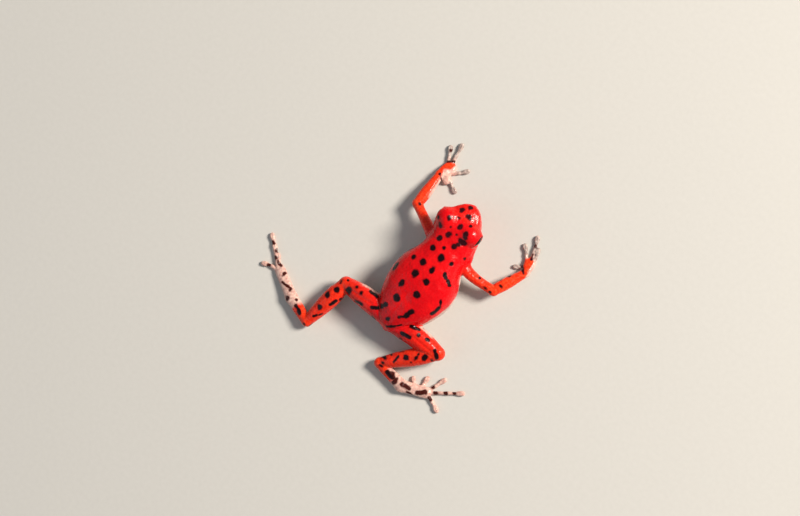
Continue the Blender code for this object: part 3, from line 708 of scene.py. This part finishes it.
def draw_surface(lattice):
    """Vertices and four-sided faces through the places of no distance."""
    value = lattice.value
    inside = value < 0
    corners = list(np.ndindex(2, 2, 2))
    count = np.zeros([n - 1 for n in value.shape], dtype=np.uint8)
    for corner in corners:
        count += inside[tuple(slice(c, c + n) for c, n in zip(corner, count.shape))]
    # Every cell with corners both inside and outside gets a point, in the middle of the
    # places where the surface crosses its edges.
    cells = np.argwhere((count > 0) & (count < 8))
    number = np.full(count.shape, -1, dtype=np.int32)
    number[tuple(cells.T)] = np.arange(len(cells))
    total, hits = np.zeros((len(cells), 3)), np.zeros(len(cells))
    for axis in range(3):
        for corner in corners:
            if corner[axis]:
                continue
            a = cells + corner
            b = a.copy()
            b[:, axis] += 1
            va, vb = value[tuple(a.T)], value[tuple(b.T)]
            crossed = (va < 0) != (vb < 0)
            t = va[crossed] / (va[crossed] - vb[crossed])
            for k, marks in enumerate(lattice.axes):
                pa, pb = marks[a[crossed, k]], marks[b[crossed, k]]
                total[crossed, k] += pa + t * (pb - pa)
            hits[crossed] += 1
    # Every crossed edge gets a face between the points of the four cells round it.
    faces = []
    for axis in range(3):
        u, v = (axis + 1) % 3, (axis + 2) % 3
        first = [slice(1, -1)] * 3
        first[axis] = slice(0, -1)
        second = list(first)
        second[axis] = slice(1, None)
        start, end = inside[tuple(first)], inside[tuple(second)]
        edges = np.argwhere(start != end)
        leaving = start[tuple(edges.T)]
        ring = []
        for du, dv in ((0, 0), (1, 0), (1, 1), (0, 1)):
            cell = edges.copy()
            cell[:, u] += du
            cell[:, v] += dv
            ring.append(number[tuple(cell.T)])
        ring = np.stack(ring, axis=1)
        ring[~leaving] = ring[~leaving][:, ::-1]
        faces.append(ring)
    return total / hits[:, None], np.concatenate(faces)


def smooth_points(points, faces, rounds):
    """Even out the lattice's small steps without shrinking the form."""
    edges = np.concatenate([faces[:, [k, (k + 1) % 4]] for k in range(4)])
    degree = np.bincount(edges.ravel(), minlength=len(points))[:, None]
    on_floor = points[:, 2] < 0.01
    for weight in (0.5, -0.52) * rounds:
        total = np.zeros_like(points)
        for axis in range(3):
            for here, there in ((0, 1), (1, 0)):
                total[:, axis] += np.bincount(edges[:, here], points[edges[:, there], axis], len(points))
        points = points + weight * (total / degree - points)
    points[on_floor, 2] = 0.0
    points[:, 2] = np.maximum(points[:, 2], 0.0)
    return points


def outward(points, faces):
    """Unit normals of a surface's points."""
    face = np.cross(points[faces[:, 2]] - points[faces[:, 0]], points[faces[:, 3]] - points[faces[:, 1]])
    normal = np.zeros_like(points)
    for k in range(4):
        for axis in range(3):
            normal[:, axis] += np.bincount(faces[:, k], face[:, axis], len(points))
    return normal / np.maximum(np.linalg.norm(normal, axis=1), 1e-12)[:, None]


def waves(points, length, count, seed):
    """Even, patternless swellings about a length across, between -1 and 1 for the most part."""
    draw = np.random.default_rng(seed)
    total = np.zeros(len(points))
    for _ in range(count):
        way = draw.normal(size=3)
        way *= 2 * math.pi / (length * draw.uniform(0.8, 1.25) * np.linalg.norm(way))
        total += np.sin(points @ way + draw.uniform(0, 2 * math.pi))
    return total / math.sqrt(count / 2) / WAVE_PEAK


def pebble_skin(points, normals):
    """Raise the fine grains of the back and the coarser ones of belly and flanks."""
    x, y, z = points.T
    eye_gap = np.min([np.linalg.norm(points - EYE * mirror, axis=1) for mirror in MIRRORS], axis=0)
    mouth_gap = np.where(x > MOUTH_CORNER[0], np.abs(z - mouth_height(x)), 1.0)
    calm = smooth_step(EYE_RADIUS + 0.15, EYE_RADIUS + 0.5, eye_gap)
    calm *= smooth_step(0.10, 0.35, mouth_gap)
    calm *= smooth_step(0.0, 0.12, z)
    body = smooth_step(5.5, 4.5, np.abs(y + 0.3))
    grains = np.maximum(waves(points, 0.42, 14, seed=3), -0.3)
    swell = waves(points, 1.5, 10, seed=5)
    folds = waves(points * (1.0, 0.55, 0.8), 0.9, 12, seed=9)
    height = calm * (0.010 * grains + body * (0.012 * swell + 0.010 * folds) + 0.006 * (1 - body) * swell)
    return points + normals * height[:, None]


def floor_ways(ways):
    """Directions from the frog's own frame to the floor's."""
    return np.asarray(ways)[..., [1, 0, 2]] * (1, -1, 1)


def frog_ways(ways):
    """Directions from the floor's frame to the frog's own."""
    return np.asarray(ways)[..., [1, 0, 2]] * (-1, 1, 1)


def floor_shift():
    """Where the frog's own frame lies on the floor, in metres, read from its right eye."""
    low, high = (np.array(corner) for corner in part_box("eye_right"))
    eye = floor_ways(turn_head(EYE * MIRRORS[1])[0]) * MM
    return ((low + high) / 2 - eye) * (1, 1, 0)


SHIFT = floor_shift()


def to_floor(points):
    """From the frog's frame in millimetres to the floor's in metres."""
    return floor_ways(np.atleast_2d(points)) * MM + SHIFT


def to_frog(point):
    """From the floor's frame in metres to the frog's in millimetres."""
    return frog_ways((np.array(point) - SHIFT) / MM)


class PhotoView:
    """The photograph's camera in the frog's frame."""

    def __init__(self):
        line = SNOUT_PIXEL - VENT_PIXEL
        self.scale = np.linalg.norm(line) / BODY_LENGTH
        self.forward = unit(line)
        self.left = np.array((self.forward[1], -self.forward[0]))
        self.back = unit(np.array((math.tan(TILT_FRONT), -math.tan(TILT_RIGHT), 1.0)))
        # The picture is turned until the snout shows on the body's axis.
        roll = 0.0
        for _ in range(12):
            self.aim(roll)
            roll += self.off_axis(SNOUT) / BODY_LENGTH

    def aim(self, roll):
        """Turn the picture about the line of sight and bring the vent to its pixel."""
        ahead = square_to(AHEAD, self.back)
        side = np.cross(self.back, ahead)
        c, s = math.cos(roll), math.sin(roll)
        ahead, side = c * ahead + s * side, c * side - s * ahead
        fx, fy = self.forward
        self.right, self.up = fx * ahead + fy * side, fx * side - fy * ahead
        right, down = (VENT_PIXEL - PICTURE / 2) / self.scale
        self.place = VENT + CAMERA_DISTANCE * self.back - right * self.right + down * self.up

    def off_axis(self, point):
        """How far to the picture's left of the body's axis a point shows, in mm."""
        reach = point - self.place
        scale = self.scale * CAMERA_DISTANCE / -(reach @ self.back)
        pixel = np.array((reach @ self.right, -(reach @ self.up))) * scale + PICTURE / 2
        return (pixel - VENT_PIXEL) / self.scale @ self.left

    def ray(self, forward, left):
        """Direction from the camera to a place read on the photo."""
        pixel = VENT_PIXEL + (forward * self.forward + left * self.left) * self.scale
        right, down = (pixel - PICTURE / 2) / (self.scale * CAMERA_DISTANCE)
        return unit(right * self.right - down * self.up - self.back)


class Pattern:
    """Spots on the skin, as the depth in mm inside the nearest one's edge."""

    def __init__(self, skin, points, normals, view):
        self.skin, self.points, self.normals, self.view = skin, points, normals, view
        self.eye = Vector(to_floor(view.place)[0])
        self.depth = np.full(len(points), -1.0)

    def photo_spot(self, forward, left, half_along, half_across):
        """Mark an oval where the photo shows it, if the line of sight meets the skin."""
        way = Vector(floor_ways(self.view.ray(forward, left)))
        found, place, normal, _ = self.skin.ray_cast(self.eye, way)
        if found:
            self.spot(to_frog(place), frog_ways(normal), half_along, half_across)

    def spot(self, place, normal, half_along, half_across):
        """Mark an oval on the skin round a place."""
        longer = max(half_along, half_across)
        offset = self.points - place
        near = np.flatnonzero((offset**2).sum(axis=1) < (1.6 * longer) ** 2)
        offset = offset[near]
        heading = square_to(AHEAD, normal)
        ratio = np.sqrt(
            (offset @ heading / half_along) ** 2
            + (offset @ np.cross(normal, heading) / half_across) ** 2
            + (offset @ normal / (1.2 * longer)) ** 2
        )
        inner = (1 - ratio) * min(half_along, half_across)
        inner[self.normals[near] @ normal <= -0.1] = -1.0
        self.depth[near] = np.maximum(self.depth[near], inner)


def photo_spots(pattern):
    """The black spots, bars and toe bands that the photo shows."""
    for forward, left, *size in BACK_SPOTS + LEFT_LEG_SPOTS + RIGHT_LEG_SPOTS + ARM_SPOTS:
        pattern.photo_spot(forward, left, SPOT_SPREAD * size[-1] / 2, SPOT_SPREAD * size[0] / 2)
    # Three of these bars are painted shade, in the wrist folds and under the right foot.
    for start_f, start_l, end_f, end_l, thick in BARS_AND_PAINTED_SHADE:
        forward, left = end_f - start_f, end_l - start_l
        steps = max(2, int(math.hypot(forward, left) / (0.3 * thick)))
        for t in np.arange(steps + 1) / steps:
            pattern.photo_spot(start_f + t * forward, start_l + t * left, thick / 2, thick / 2)
    for forward, left, thick in TOE_BANDS:
        pattern.photo_spot(forward, left, thick, thick)


def side_spots(pattern):
    """Small spots where the photo shows nothing: flanks, cheeks and the limbs' far sides."""
    draw = np.random.default_rng(seed=11)
    points, normals = pattern.points, pattern.normals
    places = np.flatnonzero((normals @ pattern.view.back < 0.0) & (points[:, 2] > 1.5))
    draw.shuffle(places)
    kept = []
    for place in places[:SIDE_SPOT_TRIES]:
        spot = points[place]
        if pattern.depth[place] > -0.9:
            continue
        if any(((spot - other) ** 2).sum() < SIDE_SPOT_GAP**2 for other in kept):
            continue
        kept.append(spot)
        half = draw.uniform(0.18, 0.36)
        pattern.spot(spot, normals[place], 1.2 * half, half)


def zones(points, normals, limbs):
    """How pale, how orange and how grey each point of the skin is, from 0 to 1."""
    x, y, z = points.T
    on_body = (np.abs(y - read_table(SPINE_TABLE, x)[0]) < 5.2) & (x < 19.0)
    border = read_table(PALE_EDGE, x)[0] + 0.18 * waves(points, 1.8, 10, seed=31)
    belly = smooth_step(border + 0.3, border - 0.3, z) * smooth_step(12.6, 11.8, x)
    chest = smooth_step(0.35, 0.75, -normals[:, 2]) * smooth_step(18.5, 16.0, x)
    pale = np.where(on_body, np.maximum(belly, 0.85 * chest), 0.0)
    orange = np.where(x > 17.5, 0.15, 0.0)
    grey = np.where(on_body, 0.4 * belly, 0.0)
    for part, word, tube, _ in limbs:
        # Each length of limb colours the points that lie on it, with soft ends.
        low, high = tube.path.min(axis=0) - 2.4, tube.path.max(axis=0) + 2.4
        near = np.flatnonzero(((points > low) & (points < high)).all(axis=1))
        gap, t = tube(*points[near].T)
        ahead, left, up = normals[near].T
        least, under, orange_start, orange_end, fade_start, fade_end = LIMB_TINTS[part]
        own = np.maximum(least, under * smooth_step(0.20, 0.70, -up))
        weight = smooth_step(0.45, 0.05, gap)
        if part == "tarsus":
            ring, front = TARSUS_PALE[word]
            front = 0.9 * smooth_step(-0.15, 0.45, ahead) * smooth_step(*front, t)
            own = np.maximum.reduce([own, smooth_step(*ring, t), front])
        elif part == "palm":
            start, end = tube.path[0, 1], tube.path[-1, 1]
            aside = start + t * (end - start) - points[near, 1]
            # The palm turns pale towards the frog's right; on the right hand this outer edge is partly a
            # painted highlight.
            own = np.maximum(own, smooth_step(*PALM_PALE_AND_HIGHLIGHT[word], aside))
        elif part == "forearm":
            inner = smooth_step(0.35, 1.0, left if word == "right" else -left)
            own = np.maximum(own, 0.9 * inner * smooth_step(0.15, 0.45, t))
        elif part == "thigh":
            # A pale rim along the front of each thigh: partly pale underside skin, partly a painted
            # highlight.
            rim = 0.8 * smooth_step(0.3, 0.8, ahead) * smooth_step(0.68, 0.42, up)
            own = np.maximum(own, rim * smooth_step(0.15, 0.3, t) * smooth_step(0.85, 0.65, t))
        elif part == "finger":
            weight = smooth_step(0.20, 0.02, gap)
        weight = weight * smooth_step(fade_start, fade_end, t)
        if part == "finger":
            grey[near] = np.maximum(grey[near], weight * smooth_step(0.1, 0.6, t))
        pale[near] += weight * (own - pale[near])
        orange[near] += weight * (orange_start + (orange_end - orange_start) * t - orange[near])
    return {"pale": pale, "orange": orange, "grey": grey}


def new_object(name, data):
    """An object of its own in the scene."""
    thing = bpy.data.objects.new(name, data)
    bpy.context.scene.collection.objects.link(thing)
    return thing


def new_mesh(name, points, faces, material):
    """A smooth-shaded mesh object from points in metres."""
    mesh = bpy.data.meshes.new(name)
    mesh.from_pydata(points.tolist(), [], faces)
    mesh.validate()
    mesh.shade_smooth()
    mesh.materials.append(material)
    return new_object(name, mesh)


def store(thing, name, values):
    """Keep one number for each point of a mesh, for its material to read."""
    layer = thing.data.attributes.new(name, "FLOAT", "POINT")
    layer.data.foreach_set("value", np.ascontiguousarray(values, dtype=np.float32))


def make_skin(view):
    """The whole skin as one surface, with its pattern stored on its points."""
    lattice = Lattice()
    limbs = limb_flesh()
    sculpt_body(lattice)
    sculpt_limbs(lattice, limbs)
    sculpt_head(lattice)
    # Soles and belly are pressed flat on the floor.
    lattice.value = np.maximum(lattice.value, -lattice.axes[2].astype(np.float32))
    points, faces = draw_surface(lattice)
    points = smooth_points(points, faces, rounds=3)
    points = pebble_skin(points, outward(points, faces))
    points[:, 2] = np.maximum(points[:, 2], 0.0)
    turned = turn_head(points)
    material = new_material("wet_frog_skin", wet_frog_skin)
    skin = new_mesh("frog_skin", to_floor(turned), faces.tolist(), material)
    bpy.context.view_layer.update()

    normals = np.empty(points.size, dtype=np.float32)
    skin.data.vertex_normals.foreach_get("vector", normals)
    normals = frog_ways(normals.reshape(-1, 3))
    pattern = Pattern(skin, turned, normals, view)
    photo_spots(pattern)
    side_spots(pattern)
    # The edges of the spots wander by about 0.05 mm.
    store(skin, "spot", pattern.depth + 0.05 * waves(points, 0.7, 14, seed=21))
    for name, values in zones(points, normals, limbs).items():
        store(skin, name, values)
    # On the head the spots are maroon rather than black.
    store(skin, "dusk", smooth_step(13.0, 15.0, points[:, 0]))
    return skin


def make_eye(word, mirror, material):
    """One eyeball, its cornea a little proud, and how far each point is from its axis."""
    rings, sides = 72, 96
    angle = np.linspace(0, math.pi, rings + 1)[1:-1, None]
    turn = np.linspace(0, 2 * math.pi, sides, endpoint=False)
    axis = unit(mirror * (0.0, 1.0, -0.10))
    bulge = EYE_RADIUS * (1 - CORNEA_PROUD * smooth_step(0.55, 0.9, angle))
    along = bulge * np.cos(angle) + 0 * turn
    a, b = bulge * np.sin(angle) * np.cos(turn), bulge * np.sin(angle) * np.sin(turn)
    grid = along[..., None] * axis + a[..., None] * AHEAD + b[..., None] * np.cross(axis, AHEAD)
    poles = (axis * EYE_RADIUS, -axis * EYE_RADIUS * (1 - CORNEA_PROUD))
    points = np.vstack((grid.reshape(-1, 3), *poles))
    pupil = np.where(along > 0, np.sqrt((a / PUPIL_LONGER) ** 2 + b**2) / IRIS_HALF, 2.0)
    number = np.arange((rings - 1) * sides).reshape(-1, sides)
    beside = np.roll(number, -1, axis=1)
    faces = np.stack((number[:-1], number[1:], beside[1:], beside[:-1]), axis=-1)
    faces = faces.reshape(-1, 4).tolist()
    front, rear = len(points) - 2, len(points) - 1
    faces += [(front, j, k) for j, k in zip(number[0].tolist(), beside[0].tolist())]
    faces += [(k, j, rear) for j, k in zip(number[-1].tolist(), beside[-1].tolist())]
    place = to_floor(turn_head(points + EYE * mirror))
    eye = new_mesh(f"{word}_eyeball", place, faces, material)
    store(eye, "pupil", np.append(pupil, (0.0, 2.0)))
    return eye


def linear(value):
    """A colour written as sRGB hex, such as #C8102E, in linear light."""
    parts = [int(value[i : i + 2], 16) / 255 for i in (1, 3, 5)]
    return tuple(p / 12.92 if p <= 0.04045 else ((p + 0.055) / 1.055) ** 2.4 for p in parts) + (1.0,)


def add_node(material, kind, settings, inputs, output=0):
    """A node with its settings by name and its inputs by name or number; gives one output.

    An input may be another node's output, a number, or a colour as sRGB hex.
    """
    made = material.node_tree.nodes.new(kind)
    for key, value in settings.items():
        setattr(made, key, value)
    for key, value in inputs.items():
        if isinstance(value, bpy.types.NodeSocket):
            material.node_tree.links.new(value, made.inputs[key])
        else:
            made.inputs[key].default_value = linear(value) if isinstance(value, str) else value
    return made.outputs[output] if made.outputs else None


def new_material(name, finish):
    """A material whose shader takes its inputs from a finish, which adds the nodes it needs."""
    material = bpy.data.materials.new(name)
    material.use_nodes = True
    material.node_tree.nodes.clear()
    add = partial(add_node, material)
    place = add("ShaderNodeTexCoord", {}, {}, "Object")
    shader = add("ShaderNodeBsdfPrincipled", {"subsurface_method": "RANDOM_WALK"}, finish(add, place))
    add("ShaderNodeOutputMaterial", {}, {"Surface": shader})
    return material


def skin_colour(add, place):
    """Fire red on back and head, orange on the arms and shanks, cream underneath and on the toes."""
    spot, pale, orange, grey, dusk = (
        add("ShaderNodeAttribute", {"attribute_name": name}, {}, "Fac")
        for name in ("spot", "pale", "orange", "grey", "dusk")
    )
    # Drifts of 2.6 mm, speckles of 0.32 mm and ragged edges of 0.55 mm.
    broad, fine, edge = (
        add(NOISE, {}, {"Vector": place, "Scale": 1 / (size * MM), "Detail": detail})
        for size, detail in ((2.6, 2.0), (0.32, 3.0), (0.55, 2.0))
    )

    # Red pigment lies unevenly, so the back drifts between a deeper and a brighter red.
    drift = add(RANGE, SOFT, {0: broad, 1: 0.35, 2: 0.65})
    red = add(MIX, COLOUR, {0: drift, 6: DEEP_RED, 7: FIRE_RED}, 2)
    speckle = add(RANGE, SOFT, {0: fine, 1: 0.3, 2: 0.7})
    warm = add(MIX, COLOUR, {0: speckle, 6: BURNT_ORANGE, 7: LIMB_ORANGE}, 2)
    red = add(MIX, COLOUR, {0: orange, 6: red, 7: warm}, 2)

    # Underneath the pigment thins out in speckles and the pale skin shows, pink with blood.
    cream = add(MIX, COLOUR, {0: speckle, 6: PALE_SKIN, 7: PINK_SKIN}, 2)
    ashen = add(MIX, COLOUR, {0: speckle, 6: ASH_SKIN, 7: SMOKE_SKIN}, 2)
    cream = add(MIX, COLOUR, {0: grey, 6: cream, 7: ashen}, 2)
    # On the fronts of the thighs and the outer edge of the right hand this pale is partly a painted
    # highlight.
    thinned = add(MATHS, ADD_SHARE, {0: fine, 1: 0.5, 2: pale})
    bare = add(RANGE, SOFT, {0: thinned, 1: 0.40, 2: 1.10})
    ground = add(MIX, COLOUR, {0: bare, 6: red, 7: cream}, 2)

    # Black spots have a ragged edge and bleed a little into the skin round them.
    # The same black also draws the few painted shade lines in the wrist folds and under the right foot.
    ragged = add(MATHS, ADD_SHARE, {0: edge, 1: 0.26, 2: spot})
    ragged = add(MATHS, ADD_SHARE, {0: fine, 1: 0.12, 2: ragged})
    black = add(MIX, COLOUR, {0: dusk, 6: SPOT_BLACK, 7: MAROON}, 2)
    black = add(MIX, COLOUR, {0: bare, 6: black, 7: SPOT_BROWN}, 2)
    bleed = add(MIX, COLOUR, {0: 0.5, 6: ground, 7: black}, 2)
    halo = add(RANGE, SOFT, {0: ragged, 1: 0.02, 2: 0.21})
    shaded = add(MIX, COLOUR, {0: halo, 6: ground, 7: bleed}, 2)
    inside = add(RANGE, SOFT, {0: ragged, 1: 0.14, 2: 0.26})
    return add(MIX, COLOUR, {0: inside, 6: shaded, 7: black}, 2), fine


def skin_relief(add, place):
    """The grain of the skin: flat round granules, and crumples of 0.45 mm over them."""
    # The granules of the back, about 0.1 mm, are too fine to show and are drawn at 0.17 mm.
    scaled = {"Vector": place, "Scale": 1 / (0.17 * MM)}
    granules = add("ShaderNodeTexVoronoi", {"feature": "F1"}, scaled, "Distance")
    crumples = add(NOISE, {}, {"Vector": place, "Scale": 1 / (0.45 * MM), "Detail": 3.0})
    domes = {"Height": granules, "Distance": 0.020 * MM, "Strength": 0.35}
    relief = add(BUMP, {"invert": True}, domes)
    folds = {"Height": crumples, "Distance": 0.10 * MM, "Strength": 0.55, "Normal": relief}
    return add(BUMP, {}, folds)


def wet_frog_skin(add, place):
    """Living frog skin: thin, soft and granular, and wet, so it shines in small glints."""
    colour, fine = skin_colour(add, place)
    # Water lies unevenly on it: slick where it has run, softer where the skin has dried.
    dryness = add(RANGE, {}, {"Value": fine, "From Max": 2.0, "To Min": 0.04})
    return {
        "Base Color": colour,
        "Roughness": dryness,
        "IOR": 1.38,
        "Specular IOR Level": 0.35,
        "Subsurface Weight": 0.12,
        "Subsurface Radius": (1.0, 0.35, 0.25),
        "Subsurface Scale": 0.35 * MM,
        "Coat Weight": 0.20,
        "Coat Roughness": 0.08,
        "Coat IOR": 1.33,
        "Normal": skin_relief(add, place),
    }


def wet_eye(add, place):
    """A frog's eye: a clear wet cornea over a near black iris and a wide black pupil."""
    ring = add("ShaderNodeAttribute", {"attribute_name": "pupil"}, {}, "Fac")
    # The flecks of the iris are too fine to show and are drawn at 0.12 mm.
    fibres = add(NOISE, {}, {"Vector": place, "Scale": 1 / (0.12 * MM), "Detail": 3.0})
    iris = add(MIX, COLOUR, {0: fibres, 6: "#0E0706", 7: "#26130C"}, 2)
    rim = add(RANGE, SOFT, {0: ring, 1: 0.46, 2: 0.52})
    colour = add(MIX, COLOUR, {0: rim, 6: "#020202", 7: iris}, 2)
    white = add(RANGE, SOFT, {0: ring, 1: 0.88, 2: 1.0})
    colour = add(MIX, COLOUR, {0: white, 6: colour, 7: "#060304"}, 2)
    # The cornea is tear-wet glass to the eye: sharp window glints and nothing soft.
    return {"Base Color": colour, "Roughness": 0.03, "IOR": 1.35}


def matte_paper(add, place):
    """Pale studio paper, smooth and without shine."""
    # Its fibres are too fine to show, so their mottling is drawn at 0.6 mm.
    fibres = add(NOISE, {}, {"Vector": place, "Scale": 1 / (0.6 * MM), "Detail": 4.0})
    colour = add(MIX, COLOUR, {0: fibres, 6: "#CFCDC8", 7: "#D6D4CF"}, 2)
    return {"Base Color": colour, "Roughness": 0.85}


def make_floor():
    """Plain pale paper, level under the frog."""
    corners = np.array([(-1, -1, 0), (1, -1, 0), (1, 1, 0), (-1, 1, 0)]) * FLOOR_HALF
    paper = new_material("matte_paper", matte_paper)
    new_mesh("paper_floor", corners, [(0, 1, 2, 3)], paper)


def make_camera(view):
    """The camera of the photograph, from almost straight above the frog."""
    camera = new_object("photo_camera", bpy.data.cameras.new("photo_camera"))
    camera.data.sensor_width = SENSOR
    camera.data.lens = SENSOR * CAMERA_DISTANCE * view.scale / PICTURE[0]
    camera.data.clip_start = 0.01
    axes = floor_ways((view.right, view.up, view.back))
    place = Vector(to_floor(view.place)[0])
    camera.matrix_world = Matrix.Translation(place) @ Matrix(axes.T.tolist()).to_4x4()
    bpy.context.scene.camera = camera


def make_lamp(name, way, distance, size, power, colour):
    """A soft round lamp, in a direction from the frog's back and aimed at it."""
    lamp = new_object(name, bpy.data.lights.new(name, "AREA"))
    lamp.data.shape = "DISK"
    lamp.data.size = size
    lamp.data.energy = power
    lamp.data.color = linear(colour)[:3]
    way = Vector(floor_ways(unit(way)))
    place = Vector(to_floor((9.0, 0.0, 3.0))[0]) + way * distance
    lamp.matrix_world = Matrix.Translation(place) @ way.to_track_quat("Z", "Y").to_matrix().to_4x4()


def make_light(view):
    """Soft studio light: a broad lamp from the picture's right, a weak one opposite, a pale room."""
    window = 0.62 * view.right + 0.24 * view.up + 0.72 * view.back
    fill = -0.85 * view.right - 0.20 * view.up + 0.30 * view.back
    make_lamp("window_lamp", window, distance=0.62, size=0.17, power=6.2, colour="#FFF6EA")
    make_lamp("fill_lamp", fill, distance=0.50, size=0.50, power=0.35, colour="#EAF2FF")
    bpy.context.scene.view_settings.view_transform = "Standard"
    world = bpy.data.worlds.new("pale_room")
    bpy.context.scene.world = world
    world.use_nodes = True
    room = world.node_tree.nodes["Background"].inputs
    room["Color"].default_value = linear("#DDE2E6")
    room["Strength"].default_value = 0.26


def main():
    view = PhotoView()
    skin = make_skin(view)
    flesh_nodes = [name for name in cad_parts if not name.startswith("eye_")]
    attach(skin, "root")
    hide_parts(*flesh_nodes)
    eye_material = new_material("wet_eye", wet_eye)
    for word, mirror in zip(("left", "right"), MIRRORS):
        eye = make_eye(word, mirror, eye_material)
        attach(eye, "root")
        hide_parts(f"eye_{word}")
    make_floor()
    make_camera(view)
    make_light(view)


main()
